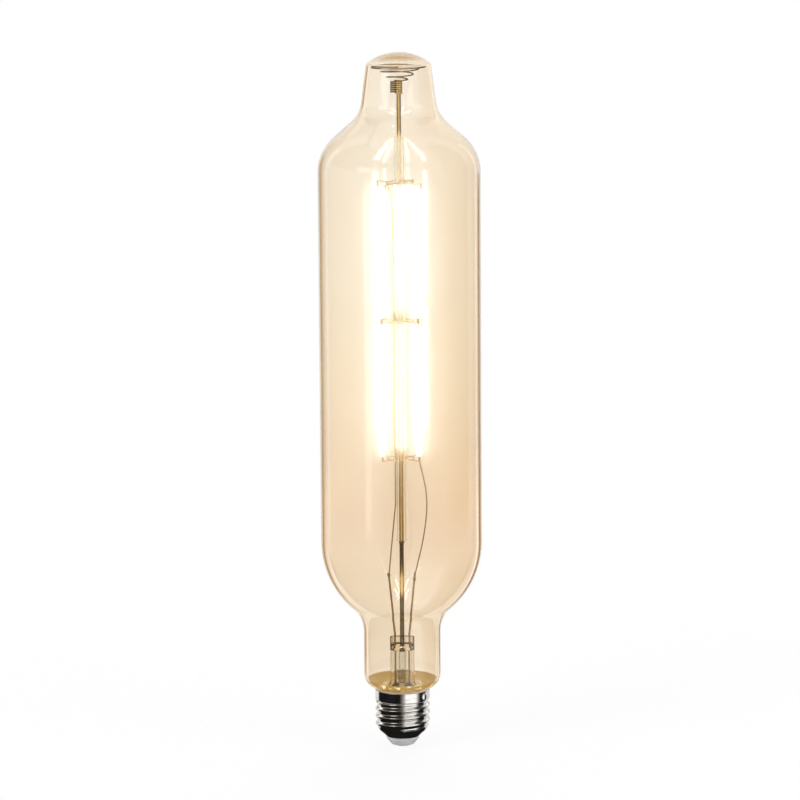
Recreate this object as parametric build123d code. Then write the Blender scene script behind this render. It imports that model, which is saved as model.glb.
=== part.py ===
from build123d import *
from math import atan2, cos, degrees, radians, sin, sqrt, tan
import os

# Vintage LED bulb: a long amber glass tube with a nipple, on an Edison screw cap. Millimetres.
# The origin is the lowest point of the contact, and +Z runs up the bulb's axis.

# Cap
cap_height = 27.9
thread_major_dia = 26.2
thread_depth = 1.0
shell_sheet = 0.4
skirt_height = 5.1
shell_foot_height = 4.2
shell_foot_dia = 16.6
insulator_lip_height = 1.1
insulator_lip_dia = 15.8
insulator_tip_dia = 10.8
insulator_plug_height = 0.6
contact_hole_dia = 3.0
contact_dia = 8.2
contact_thickness = 0.5
contact_solder_dia = 5.0
contact_solder_flat_dia = 3.0
contact_solder_height = 0.4
insulator_cone_height = 3.0
side_solder_dia = 4.2
side_solder_bulge = 0.9
side_solder_azimuth = -36.0
rim_notch_width = 1.2
rim_notch_depth = 1.4

# Glass envelope
glass_wall = 1.2
cement_gap = 1.3
cement_bead = 0.5
cement_inset = 0.25
cement_ledge_dia = 12.4
cement_ledge_height = 4.6
collar_length = 1.0
neck_dia = 36.7
neck_floor_radius = 7.0
neck_length = 34.3
neck_top_radius = 15.9
lower_shoulder_radius = 45.0
lower_shoulder_angle = 47.7
body_dia = 76.6
body_length = 205.1
upper_shoulder_radius = 21.5
upper_shoulder_angle = 48.9
nipple_root_dia = 36.8
nipple_root_radius = 15.3
nipple_length = 29.1
nipple_tip_dia = 30.5
nipple_edge_radius = 2.2
dome_rise = 5.3

# Stem
stem_dia = 11.7
stem_wall = 1.2
stem_height = 26.4
flare_height = 5.0
pinch_height = 7.0
pinch_taper = 4.0
pinch_thickness = 4.6
exhaust_dia = 4.0
exhaust_wall = 0.7
exhaust_tip_height = 3.0

# Post and filament cage
rod_dia = 2.0
rod_seat_depth = 6.0
rod_bead_dia = 4.2
rod_bead_height = 0.9
sleeve_dia = 4.8
sleeve_wall = 0.65
sleeve_tail = 40.0
sleeve_head = 21.1
cage_bottom_rise = 58.9
cage_top_drop = 14.7
cage_twist = 13.0
filament_circle_dia = 24.4
filament_dia = 2.2
filament_tab_length = 2.6
filament_tab_width = 0.9
filament_tab_thickness = 0.35
filaments_per_tier = 4
first_filament_azimuth = -45.0
spider_ring_dia = 12.8
spider_wire = 0.55
spider_arm_overhang = 0.6

# Lead wires
stem_lead_dia = 0.8
lead_dia = 0.6
weld_rise = 30.5
weld_spread = 6.3
weld_overlap = 3.0
lead_bow = 1.6
lead_bow_drop = 18.0
lead_join_drop = 21.5
lead_fan = 8.0
lead_end_length = 1.5

# Spring
spring_wire = 0.55
spring_side_gap = 1.0
spring_height = 7.6
spring_foot_dia = 8.4
spring_cone_dia = 19.0
spring_lead_turns = 0.5
spring_lead_rise = 0.3
spring_cone_turns = 2.0
spring_flare_turns = 0.5
spring_flare_rise = 0.7
spring_ring_turns = 1.25
spring_ring_pitch = 0.9
spring_start_azimuth = 180.0
spring_points_per_turn = 12
ferrule_dia = 3.6
ferrule_length = 6.0
ferrule_lug_reach = 2.1
ferrule_lug_thickness = 0.9

# Driver in the cap
board_edge_gap = 1.4
board_thickness = 1.0
capacitor_dia = 6.3
capacitor_height = 6.0
rectifier_size = (4.7, 3.9, 2.5)
chip_size = (4.9, 3.9, 1.6)
resistor_dia = 2.2
resistor_length = 6.0
driver_wire_dia = 0.5
rectifier_to_chip = 3.0

# Clearances
touch_gap = 0.05
bore_gap = 0.03
spring_gap = 0.25
shoulder_blend_share = 0.95

# Cap levels and radii
contact_level = contact_solder_height
insulator_level = contact_level + contact_thickness
lip_level = insulator_level + insulator_cone_height
shell_level = lip_level + insulator_lip_height
thread_level = shell_level + shell_foot_height
skirt_level = cap_height - skirt_height
board_level = thread_level + insulator_plug_height
component_level = board_level + board_thickness
thread_r = thread_major_dia / 2
bore_r = thread_r - thread_depth - shell_sheet
skirt_bore_r = thread_r - shell_sheet
foot_r = shell_foot_dia / 2
foot_bore_r = foot_r - 2 * shell_sheet

# Glass levels and radii
floor_level = cap_height + cement_bead
seal_level = floor_level - collar_length
neck_top_level = floor_level + neck_length
neck_r = neck_dia / 2
body_r = body_dia / 2
root_r = nipple_root_dia / 2
tip_r = nipple_tip_dia / 2
collar_r = bore_r - cement_gap
body_bottom_level = neck_top_level + (body_r - neck_r) / tan(radians(lower_shoulder_angle))
body_top_level = body_bottom_level + body_length
nipple_level = body_top_level + (body_r - root_r) / tan(radians(upper_shoulder_angle))
apex_level = nipple_level + nipple_length
dome_level = apex_level - dome_rise
dome_radius = (tip_r**2 + dome_rise**2) / (2 * dome_rise)
dome_centre_level = apex_level - dome_radius

# Stem levels and radii
stem_r = stem_dia / 2
stem_bore_r = stem_r - stem_wall
stem_top_level = seal_level + stem_height
pinch_level = stem_top_level - pinch_height
exhaust_r = exhaust_dia / 2
lead_x = (exhaust_r + stem_bore_r) / 2

# Cage levels and radii
bottom_spider_level = body_bottom_level + cage_bottom_rise
top_spider_level = body_top_level - cage_top_drop
middle_spider_level = (bottom_spider_level + top_spider_level) / 2
sleeve_bottom_level = bottom_spider_level - sleeve_tail
sleeve_top_level = top_spider_level + sleeve_head
rod_r = rod_dia / 2
sleeve_r = sleeve_dia / 2
filament_circle_r = filament_circle_dia / 2
spider_ring_r = spider_ring_dia / 2
lead_r = lead_dia / 2

# Spring levels and radii
spring_half = spring_wire / 2
spring_ring_r = tip_r - glass_wall - spring_side_gap
dome_inner_radius = dome_radius - glass_wall
spring_reach = spring_ring_r + spring_half
dome_above_ring = dome_centre_level + sqrt(dome_inner_radius**2 - spring_reach**2)
spring_ring_height = spring_ring_turns * spring_ring_pitch
spring_top_level = dome_above_ring - spring_gap - spring_half
ferrule_top_level = spring_top_level - spring_height


standing = (Align.CENTER, Align.CENTER, Align.MIN)


def save(node, solid):
    export_step(solid, f"parts/{node}.step")


def turned(*points):
    """A solid of revolution from its half section, given as (radius, height) points."""
    section = make_face(Plane.XZ * Polyline(*points, close=True))
    return revolve(section, Axis.Z)


def blown_wall(outline, wall):
    """A revolved wall of even thickness on the inner side of an open outline."""
    walls = outline.offset_2d(wall, kind=Kind.INTERSECTION, side=Side.LEFT)
    section = make_face(walls.edges())
    return revolve(Plane.XZ * section, Axis.Z)


def shoulder_radii(convex, convex_turn, concave, concave_turn, slant):
    """The two blend radii of a shoulder, limited where its slant is too short for both."""
    used = convex * tan(convex_turn / 2) + concave * tan(concave_turn / 2)
    share = min(1, shoulder_blend_share * slant / used)
    return convex * share, concave * share


def bent_wire(points, diameter):
    path = Polyline(*points)
    section = Plane(origin=path @ 0, z_dir=path % 0) * Circle(diameter / 2)
    return sweep(section, path, transition=Transition.RIGHT)


def at_azimuth(radius, azimuth, level):
    return Vector(radius * cos(radians(azimuth)), radius * sin(radians(azimuth)), level)


def glass_envelope():
    """The blown glass, of even thickness, from the collar in the cap to the dome of the nipple."""
    lower = radians(lower_shoulder_angle)
    upper = radians(upper_shoulder_angle)
    nipple_taper = atan2(root_r - tip_r, dome_level - nipple_level)
    lower_slant = (body_r - neck_r) / sin(lower)
    upper_slant = (body_r - root_r) / sin(upper)
    lower_convex, lower_concave = shoulder_radii(
        lower_shoulder_radius, lower, neck_top_radius, lower, lower_slant
    )
    upper_convex, upper_concave = shoulder_radii(
        upper_shoulder_radius, upper, nipple_root_radius, upper - nipple_taper, upper_slant
    )
    side = FilletPolyline(
        (collar_r, seal_level),
        (collar_r, floor_level),
        (neck_r, floor_level),
        (neck_r, neck_top_level),
        (body_r, body_bottom_level),
        (body_r, body_top_level),
        (root_r, nipple_level),
        (tip_r, dome_level),
        radius=[0, neck_floor_radius, lower_concave, lower_convex, upper_convex, upper_concave],
    )
    dome_start = degrees(atan2(dome_level - dome_centre_level, tip_r))
    dome = CenterArc((0, dome_centre_level), dome_radius, dome_start, 90 - dome_start)
    outline = Wire(side.edges() + dome.edges())
    edge = outline.vertices().sort_by_distance((tip_r, dome_level))[0]
    return blown_wall(outline.fillet_2d(nipple_edge_radius, [edge]), glass_wall)


def stem():
    flare = turned(
        (collar_r, seal_level),
        (collar_r - glass_wall, seal_level),
        (stem_r, seal_level + flare_height),
        (stem_r, pinch_level),
        (stem_bore_r, pinch_level),
        (stem_bore_r, seal_level + flare_height - stem_wall),
        (collar_r - glass_wall, seal_level - stem_wall),
        (collar_r, seal_level - stem_wall),
    )
    half = pinch_thickness / 2
    taper_top = pinch_level + pinch_taper
    blade_side = Polyline(
        (-stem_r, pinch_level),
        (stem_r, pinch_level),
        (half, taper_top),
        (half, stem_top_level),
        (-half, stem_top_level),
        (-half, taper_top),
        close=True,
    )
    blade = extrude(make_face(Plane.YZ * blade_side), stem_r, both=True)
    barrel = Pos(0, 0, pinch_level) * Cylinder(stem_r, pinch_height, align=standing)
    solid = flare + (blade & barrel)
    hanging = (Align.CENTER, Align.CENTER, Align.MAX)
    lead_hole = Cylinder(stem_lead_dia / 2 + bore_gap, stem_height, align=hanging)
    for x in (-lead_x, lead_x):
        solid -= Pos(x, 0, stem_top_level) * lead_hole
    rod_hole = Cylinder(rod_r + bore_gap, rod_seat_depth, align=hanging)
    return solid - Pos(0, 0, stem_top_level) * rod_hole


def exhaust_tube():
    tip_level = seal_level + touch_gap
    shoulder = tip_level + exhaust_tip_height
    bore = exhaust_r - exhaust_wall
    return turned(
        (0, tip_level),
        (exhaust_wall, tip_level),
        (exhaust_r, shoulder),
        (exhaust_r, pinch_level),
        (bore, pinch_level),
        (bore, shoulder),
        (0, shoulder),
    )


def centre_rod():
    foot = stem_top_level - rod_seat_depth
    bead_r = rod_bead_dia / 2
    bead_bottom = sleeve_bottom_level - rod_bead_height
    return turned(
        (0, foot),
        (rod_r, foot),
        (rod_r, bead_bottom),
        (bead_r, bead_bottom),
        (bead_r, sleeve_bottom_level),
        (rod_r, sleeve_bottom_level),
        (rod_r, ferrule_top_level),
        (0, ferrule_top_level),
    )


def support_sleeve():
    bore = sleeve_r - sleeve_wall
    return turned(
        (bore, sleeve_bottom_level),
        (sleeve_r, sleeve_bottom_level),
        (sleeve_r, sleeve_top_level),
        (bore, sleeve_top_level),
    )


def spider(level, twist):
    """A flat wire ring with one arm for each filament, from the sleeve out to the filament circle."""
    half = spider_wire / 2
    ring = Circle(spider_ring_r + half) - Circle(spider_ring_r - half)
    arm_start = sleeve_r + touch_gap
    arm_end = filament_circle_r + spider_arm_overhang
    arm = Pos((arm_start + arm_end) / 2, 0) * Rectangle(arm_end - arm_start, spider_wire)
    for azimuth in filament_azimuths(twist):
        ring += Rot(0, 0, azimuth) * arm
    return Pos(0, 0, level - half) * extrude(ring, spider_wire)


def filament_azimuths(twist):
    step = 360 / filaments_per_tier
    return [first_filament_azimuth + twist + step * n for n in range(filaments_per_tier)]


def filament(low_level, low_azimuth, high_level, high_azimuth):
    """One LED filament: a coated strip between two flat tabs, on a line between two arm ends."""
    inset = spider_wire / 2 + touch_gap
    low = at_azimuth(filament_circle_r, low_azimuth, low_level + inset)
    high = at_azimuth(filament_circle_r, high_azimuth, high_level - inset)
    length = (high - low).length
    tab_box = Box(
        filament_tab_thickness, filament_tab_width, filament_tab_length, align=standing
    )
    strip = Cylinder(filament_dia / 2, length - 2 * filament_tab_length, align=standing)
    whole = Pos(0, 0, filament_tab_length) * strip
    whole += tab_box
    whole += Pos(0, 0, length - filament_tab_length) * tab_box
    along = Plane(origin=low, x_dir=at_azimuth(1, low_azimuth, 0), z_dir=high - low)
    return along * whole


def lead_pair(side, upper_points):
    """A stem lead and the inner lead that is welded along its upper end. side is -1 left, 1 right."""
    foot = Vector(side * lead_x, 0, component_level)
    pinch_top = Vector(side * lead_x, 0, stem_top_level)
    weld = Vector(side * weld_spread, 0, stem_top_level + weld_rise)
    along = (weld - pinch_top).normalized()
    beside = Vector(0, -(stem_lead_dia / 2 + lead_r + bore_gap), 0)
    stem_lead = bent_wire([foot, pinch_top, weld], stem_lead_dia)
    inner = [weld - along * weld_overlap + beside, weld + beside] + upper_points
    return stem_lead, bent_wire(inner, lead_dia)


def left_route():
    """Past the lower spiders, close along the sleeve, then out to the top spider's ring."""
    beside_sleeve = -(sleeve_r + lead_r + touch_gap)
    beside_ring = -(spider_ring_r - spider_wire / 2 - lead_r - touch_gap)
    return [
        Vector(beside_sleeve, 0, bottom_spider_level - lead_join_drop),
        Vector(beside_sleeve, 0, top_spider_level - lead_fan),
        Vector(beside_ring, 0, top_spider_level - spider_wire),
        Vector(beside_ring, 0, top_spider_level + spider_wire),
    ]


def right_route():
    """Bowed out and up to the arm end of the bottom spider at the front right."""
    arm_under = bottom_spider_level - spider_wire / 2 - touch_gap
    bow_r = filament_circle_r + lead_bow
    return [
        at_azimuth(bow_r, first_filament_azimuth / 2, bottom_spider_level - lead_bow_drop),
        at_azimuth(filament_circle_r, first_filament_azimuth, arm_under - lead_end_length),
        at_azimuth(filament_circle_r, first_filament_azimuth, arm_under),
    ]


def spring_stretches():
    """Each stretch of the spring as its turns, its end radius and its end level."""
    foot_level = ferrule_top_level + spring_half + touch_gap + spring_lead_rise
    ring_level = spring_top_level - spring_ring_height
    return [
        (spring_lead_turns, spring_foot_dia / 2, foot_level),
        (spring_cone_turns, spring_cone_dia / 2, ring_level - spring_flare_rise),
        (spring_flare_turns, spring_ring_r, ring_level),
        (spring_ring_turns, spring_ring_r, spring_top_level),
    ]


def locating_spring():
    """A conical spring of square wire, from the ferrule up to an open ring under the dome."""
    azimuth = spring_start_azimuth
    radius = ferrule_dia / 2 - spring_half
    level = ferrule_top_level + spring_half + touch_gap
    points = [at_azimuth(radius, azimuth, level)]
    for turns, end_radius, end_level in spring_stretches():
        steps = round(turns * spring_points_per_turn)
        for n in range(1, steps + 1):
            share = n / steps
            points.append(
                at_azimuth(
                    radius + (end_radius - radius) * share,
                    azimuth + 360 * turns * share,
                    level + (end_level - level) * share,
                )
            )
        azimuth += 360 * turns
        radius, level = end_radius, end_level
    path = Spline(*points)
    section = Plane(origin=path @ 0, z_dir=path % 0) * Rectangle(spring_wire, spring_wire)
    return sweep(section, path, is_frenet=True)


def spring_ferrule():
    level = ferrule_top_level - ferrule_length
    barrel = Cylinder(ferrule_dia / 2, ferrule_length, align=standing)
    reach = ferrule_dia / 2 + ferrule_lug_reach
    lug = Box(
        reach, ferrule_lug_thickness, ferrule_length, align=(Align.MAX, Align.CENTER, Align.MIN)
    )
    crimped = barrel + lug - Cylinder(rod_r + bore_gap, ferrule_length, align=standing)
    return Pos(0, 0, level) * crimped


def basing_cement():
    """The cement between collar and cap, with a ledge under the stem and the shell wire's channel."""
    ledge_level = seal_level - stem_wall
    ledge_r = cement_ledge_dia / 2
    ring = turned(
        (ledge_r, ledge_level - cement_ledge_height),
        (bore_r, ledge_level - cement_ledge_height),
        (bore_r, skirt_level),
        (skirt_bore_r, skirt_level),
        (skirt_bore_r, cap_height),
        (skirt_bore_r - cement_inset, floor_level),
        (collar_r, floor_level),
        (collar_r, ledge_level),
        (ledge_r, ledge_level),
    )
    return ring - shell_wire_shape(driver_wire_dia + 2 * bore_gap)


def cap_shell():
    shell = turned(
        (foot_bore_r, shell_level),
        (foot_r, shell_level),
        (thread_r - thread_depth, thread_level - thread_depth),
        (thread_r, thread_level),
        (thread_r, cap_height),
        (skirt_bore_r, cap_height),
        (skirt_bore_r, skirt_level),
        (bore_r, skirt_level),
        (bore_r, thread_level),
    )
    inside = thread_r - skirt_height
    notch = Box(
        skirt_height, rim_notch_width, rim_notch_depth, align=(Align.MIN, Align.CENTER, Align.MAX)
    )
    return shell - Rot(0, 0, side_solder_azimuth) * Pos(inside, 0, cap_height) * notch


def side_solder():
    """A bead of solder on the skirt, over the notch where the shell wire comes out."""
    half = side_solder_dia / 2
    radius = (half**2 + side_solder_bulge**2) / (2 * side_solder_bulge)
    level = cap_height - skirt_height / 2
    ball = Pos(thread_r + side_solder_bulge - radius, 0, level) * Sphere(radius)
    bead = ball - Cylinder(thread_r, cap_height + skirt_height, align=standing)
    return Rot(0, 0, side_solder_azimuth) * bead


def cap_insulator():
    lip_r = insulator_lip_dia / 2
    neck = foot_bore_r - touch_gap
    plug_r = bore_r - touch_gap
    return turned(
        (contact_hole_dia / 2, insulator_level),
        (insulator_tip_dia / 2, insulator_level),
        (lip_r, lip_level),
        (lip_r, shell_level),
        (neck, shell_level),
        (plug_r, thread_level),
        (plug_r, board_level),
        (contact_hole_dia / 2, board_level),
    )


def centre_contact():
    return turned(
        (0, contact_level),
        (contact_dia / 2, contact_level),
        (contact_dia / 2, insulator_level),
        (0, insulator_level),
    )


def contact_solder():
    return turned(
        (0, 0),
        (contact_solder_flat_dia / 2, 0),
        (contact_solder_dia / 2, contact_level),
        (0, contact_level),
    )


def shell_wire_shape(diameter):
    in_board = bore_r - board_edge_gap - diameter
    in_cement = (collar_r + bore_r) / 2
    rise = in_cement - in_board
    outlet = cap_height - rim_notch_depth / 2
    route = [
        (in_board, 0, component_level),
        (in_board, 0, component_level + rise),
        (in_cement, 0, component_level + 2 * rise),
        (in_cement, 0, outlet),
        (thread_r - touch_gap, 0, outlet),
    ]
    return Rot(0, 0, side_solder_azimuth) * bent_wire(route, diameter)


def driver_parts():
    board_r = bore_r - board_edge_gap
    near = board_r / 2
    chip_x = (rectifier_size[0] + chip_size[0]) / 2 + rectifier_to_chip - near
    resistor_x = board_r - resistor_dia
    on_board = Pos(0, 0, component_level)
    board = Pos(0, 0, board_level) * Cylinder(board_r, board_thickness, align=standing)
    can = Cylinder(capacitor_dia / 2, capacitor_height, align=standing)
    resistor = Rot(90, 0, 0) * Cylinder(resistor_dia / 2, resistor_length)
    return {
        "driver_board": board,
        "smoothing_capacitor": on_board * Pos(0, near, 0) * can,
        "bridge_rectifier": on_board * Pos(-near, -near, 0) * Box(*rectifier_size, align=standing),
        "driver_chip": on_board * Pos(chip_x, -near, 0) * Box(*chip_size, align=standing),
        "fuse_resistor": on_board * Pos(resistor_x, 0, resistor_dia / 2) * resistor,
    }


def contact_wire():
    wire = Cylinder(driver_wire_dia / 2, board_level - insulator_level, align=standing)
    return Pos(0, 0, insulator_level) * wire


os.makedirs("parts", exist_ok=True)

save("glass_envelope", glass_envelope())
save("stem", stem())
save("exhaust_tube", exhaust_tube())
save("centre_rod", centre_rod())
save("support_sleeve", support_sleeve())
save("locating_spring", locating_spring())
save("spring_ferrule", spring_ferrule())

save("bottom_spider", spider(bottom_spider_level, 0))
save("middle_spider", spider(middle_spider_level, 0))
save("top_spider", spider(top_spider_level, cage_twist))
straight = filament_azimuths(0)
twisted = filament_azimuths(cage_twist)
for n in range(filaments_per_tier):
    lower_tier = filament(bottom_spider_level, straight[n], middle_spider_level, straight[n])
    upper_tier = filament(middle_spider_level, straight[n], top_spider_level, twisted[n])
    save(f"lower_filament_{n + 1}", lower_tier)
    save(f"upper_filament_{n + 1}", upper_tier)

for name, side, route in (("left", -1, left_route()), ("right", 1, right_route())):
    stem_lead, inner_lead = lead_pair(side, route)
    save(f"{name}_stem_lead", stem_lead)
    save(f"{name}_lead", inner_lead)

save("basing_cement", basing_cement())
save("cap_shell", cap_shell())
save("side_solder", side_solder())
save("cap_insulator", cap_insulator())
save("centre_contact", centre_contact())
save("contact_solder", contact_solder())
save("contact_wire", contact_wire())
save("shell_wire", shell_wire_shape(driver_wire_dia))
for node, solid in driver_parts().items():
    save(node, solid)
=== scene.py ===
from functools import partial
from math import atan2, ceil, cos, exp, pi, radians, sin, sqrt, tan, tau

import bpy
from mathutils import Matrix, Vector
from mathutils.noise import noise


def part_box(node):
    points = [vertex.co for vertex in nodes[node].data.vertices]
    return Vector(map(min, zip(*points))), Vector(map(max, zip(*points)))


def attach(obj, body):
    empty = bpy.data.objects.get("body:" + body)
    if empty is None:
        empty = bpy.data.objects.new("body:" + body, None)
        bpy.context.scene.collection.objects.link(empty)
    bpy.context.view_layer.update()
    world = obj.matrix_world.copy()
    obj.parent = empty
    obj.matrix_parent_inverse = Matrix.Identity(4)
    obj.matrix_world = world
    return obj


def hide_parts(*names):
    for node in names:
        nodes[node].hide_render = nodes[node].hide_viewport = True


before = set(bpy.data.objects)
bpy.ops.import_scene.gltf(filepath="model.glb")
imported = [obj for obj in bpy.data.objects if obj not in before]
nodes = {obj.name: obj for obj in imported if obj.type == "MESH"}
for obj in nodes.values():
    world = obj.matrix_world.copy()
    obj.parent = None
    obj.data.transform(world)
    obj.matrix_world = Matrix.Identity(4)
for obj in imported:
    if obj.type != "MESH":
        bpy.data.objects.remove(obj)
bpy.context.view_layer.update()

mm = 0.001
scene = bpy.context.scene


def sizes(**lengths):
    # given in millimetres
    return {key: length * mm for key, length in lengths.items()}


# node trees

def feed(node, values):
    # a socket is linked, anything else is set on the input itself
    for socket, value in values.items():
        if isinstance(value, bpy.types.NodeSocket):
            node.id_data.links.new(value, node.inputs[socket])
        else:
            node.inputs[socket].default_value = value


def addNode(tree, kind, values=None, **settings):
    node = tree.nodes.new(kind)
    for key, value in settings.items():
        setattr(node, key, value)
    feed(node, values or {})
    return node


def shade(tree, kind, values=None, socket=0, **settings):
    return addNode(tree, "ShaderNode" + kind, values, **settings).outputs[socket]


def shape(tree, kind, values=None, socket=0):
    return addNode(tree, "GeometryNode" + kind, values).outputs[socket]


def math2(operation, a, b=0.0):
    tree = (a if isinstance(a, bpy.types.NodeSocket) else b).id_data
    return shade(tree, "Math", {0: a, 1: b}, operation=operation)


plus, minus, times = (partial(math2, operation) for operation in ("ADD", "SUBTRACT", "MULTIPLY"))


def emptyTree(owner):
    owner.use_nodes = True
    owner.node_tree.nodes.clear()
    return owner.node_tree


def blankMaterial(name):
    material = bpy.data.materials.new(name)
    return material, emptyTree(material)


def newMaterial(name, tint=None):
    # tint is the colour and the density of what a glass absorbs
    material, tree = blankMaterial(name)
    shader = addNode(tree, "ShaderNodeBsdfPrincipled")
    ends = {"Surface": shader.outputs["BSDF"]}
    if tint:
        ends["Volume"] = shade(tree, "VolumeAbsorption", {"Color": (*tint[0], 1), "Density": tint[1]})
    addNode(tree, "ShaderNodeOutputMaterial", ends)
    return material, tree, shader


def mixTo(output, share, first, second):
    both = shade(share.id_data, "MixShader", {0: share, 1: first, 2: second})
    addNode(share.id_data, output, {"Surface": both})


def objectPlace(tree):
    return shade(tree, "TexCoord", socket="Object")


def objectNoise(tree, scale, detail=1.0, stretch=(1, 1, 1)):
    mapped = shade(tree, "Mapping", {"Vector": objectPlace(tree), "Scale": stretch})
    return shade(tree, "TexNoise", {"Vector": mapped, "Scale": scale, "Detail": detail}, "Fac")


def ramp(fac, stops):
    node = addNode(fac.id_data, "ShaderNodeValToRGB", {"Fac": fac})
    elements = node.color_ramp.elements
    while len(elements) < len(stops):
        elements.new(0.5)
    for element, (at, colour) in zip(elements, stops):
        element.position = at
        element.color = (*colour, 1)
    return node.outputs["Color"]


def between(value, source, target=(0.0, 1.0)):
    ends = dict(zip(("From Min", "From Max", "To Min", "To Max"), (*source, *target)))
    return shade(value.id_data, "MapRange", {"Value": value, **ends}, "Result")


def spread(fac, low, high):
    return between(fac, (0.0, 1.0), (low, high))


def byLevel(level, stops):
    # a colour for each height, blended between the given ones
    low, high = stops[0][0], stops[-1][0]
    share = between(level, (low, high))
    return ramp(share, [((at - low) / (high - low), colour) for at, colour in stops])


def mixColour(share, first, second, blend="MIX"):
    values = {0: share, 6: first, 7: (*second, 1)}
    return shade(share.id_data, "Mix", values, 2, data_type="RGBA", blend_type=blend)


def bump(height, strength, distance):
    values = {"Height": height, "Strength": strength, "Distance": distance}
    return shade(height.id_data, "Bump", values, "Normal")


# meshes

def onCircle(radius, azimuth, level):
    return Vector((radius * cos(azimuth), radius * sin(azimuth), level))


def rounded(corners, step=radians(4)):
    # corners are (radius, level) or (radius, level, blend), and each blend becomes an arc
    points = []
    for i, (x, z, *blend) in enumerate(corners):
        here = Vector((x, z))
        if not blend:
            points.append(here)
            continue
        back = (Vector(corners[i - 1][:2]) - here).normalized()
        on = (Vector(corners[i + 1][:2]) - here).normalized()
        half = back.angle(on) / 2
        centre = here + (back + on).normalized() * (blend[0] / sin(half))
        start = here + back * (blend[0] / tan(half)) - centre
        end = here + on * (blend[0] / tan(half)) - centre
        turn = start.angle_signed(end)
        count = max(2, ceil(abs(turn) / step))
        for k in range(count + 1):
            points.append(centre + Matrix.Rotation(-turn * k / count, 2) @ start)
    return points


def offset(points, distance):
    # the same line moved to its left, with the corners mitred
    moved = []
    for i, here in enumerate(points):
        back = here - points[i - 1] if i else points[1] - here
        on = points[i + 1] - here if i < len(points) - 1 else back
        left = [Vector((-d.y, d.x)).normalized() for d in (back, on)]
        middle = (left[0] + left[1]).normalized()
        moved.append(here + middle * (distance / middle.dot(left[0])))
    return moved


def addPiece(name, mesh):
    piece = bpy.data.objects.new(name, mesh)
    scene.collection.objects.link(piece)
    return piece


def finishMesh(name, vertices, faces, sharp=35):
    mesh = bpy.data.meshes.new(name)
    mesh.from_pydata(vertices, [], faces)
    mesh.validate()
    mesh.shade_smooth()
    mesh.set_sharp_from_angle(angle=radians(sharp))
    return addPiece(name, mesh)


def hoop(along, across, level, steps):
    turns = [tau * s / steps for s in range(steps)]
    return [(along * cos(turn), across * sin(turn), level) for turn in turns]


def skin(name, rings, sharp, gap=None):
    # rings of points joined in turn and round to the first, a lone point being a pole,
    # and two flat faces at the gap
    steps = max(len(ring) for ring in rings)
    vertices, faces, marks = [], [], []
    for ring in rings:
        first = len(vertices)
        marks.append(range(first, first + steps) if len(ring) > 1 else [first] * steps)
        vertices += ring
    for r, low in enumerate(marks):
        if r == gap:
            continue
        high = marks[(r + 1) % len(marks)]
        for s in range(steps):
            n = (s + 1) % steps
            loop = tuple(dict.fromkeys((low[s], low[n], high[n], high[s])))
            if len(loop) > 2:
                faces.append(loop)
    if gap is not None:
        faces += [tuple(marks[gap]), tuple(reversed(marks[gap + 1]))]
    return finishMesh(name, vertices, faces, sharp)


def lathe(name, section, steps=96, sharp=35):
    # section runs round the solid with its inside on the left, and radius 0 is a pole
    rings = [hoop(radius, radius, level, 1 if radius < 1e-9 else steps) for radius, level in section]
    return skin(name, rings, sharp)


def wire(name, points, radius):
    curve = bpy.data.curves.new(name, "CURVE")
    curve.dimensions = "3D"
    curve.bevel_depth = radius
    curve.bevel_resolution = 3
    curve.use_fill_caps = True
    curve.resolution_u = 12
    spline = curve.splines.new("NURBS")
    spline.points.add(len(points) - 1)
    for point, place in zip(spline.points, points):
        point.co = (*place, 1)
    spline.order_u = 3
    spline.use_endpoint_u = True
    guide = bpy.data.objects.new(name + "Guide", curve)
    mesh = bpy.data.meshes.new_from_object(guide)
    bpy.data.objects.remove(guide)
    mesh.name = name
    mesh.shade_smooth()
    return addPiece(name, mesh)


def newTree(name, inputs):
    tree = bpy.data.node_groups.new(name, "GeometryNodeTree")
    tree.interface.new_socket("Geometry", in_out="OUTPUT", socket_type="NodeSocketGeometry")
    kinds = {float: "Float", int: "Int", Vector: "Vector"}
    for label, value in inputs.items():
        kind = "NodeSocket" + kinds[type(value)]
        tree.interface.new_socket(label, in_out="INPUT", socket_type=kind).default_value = value
    return tree, addNode(tree, "NodeGroupInput").outputs


def line(start, end):
    return shape(start.id_data, "CurvePrimitiveLine", {"Start": start, "End": end})


def circle(radius, sides):
    return shape(radius.id_data, "CurvePrimitiveCircle", {"Radius": radius, "Resolution": sides})


def sweep(path, section, caps=True, **more):
    values = {"Curve": path, "Profile Curve": section, "Fill Caps": caps, **more}
    return shape(path.id_data, "CurveToMesh", values)


def paint(geometry, material):
    return shape(geometry.id_data, "SetMaterial", {"Geometry": geometry, "Material": material})


def join(*parts):
    node = addNode(parts[0].id_data, "GeometryNodeJoinGeometry")
    for part in parts:
        feed(node, {"Geometry": part})
    return node.outputs["Geometry"]


def endTree(geometry, material=None):
    tree = geometry.id_data
    real = shape(tree, "RealizeInstances", {"Geometry": geometry})
    done = shape(tree, "SetShadeSmooth", {"Geometry": real})
    if material:
        done = paint(done, material)
    addNode(tree, "NodeGroupOutput", {"Geometry": done})
    return tree


def grow(name, tree, values):
    # one plain mesh from a node tree, with the given sizes
    seed = addPiece(name + "Seed", bpy.data.meshes.new(name + "Seed"))
    modifier = seed.modifiers.new("grow", "NODES")
    modifier.node_group = tree
    for item in tree.interface.items_tree:
        if item.in_out == "INPUT" and item.name in values:
            modifier[item.identifier] = values[item.name]
    depsgraph = bpy.context.evaluated_depsgraph_get()
    mesh = bpy.data.meshes.new_from_object(seed.evaluated_get(depsgraph), depsgraph=depsgraph)
    seed.modifiers.clear()
    bpy.data.objects.remove(seed)
    mesh.name = name
    return addPiece(name, mesh)


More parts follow.
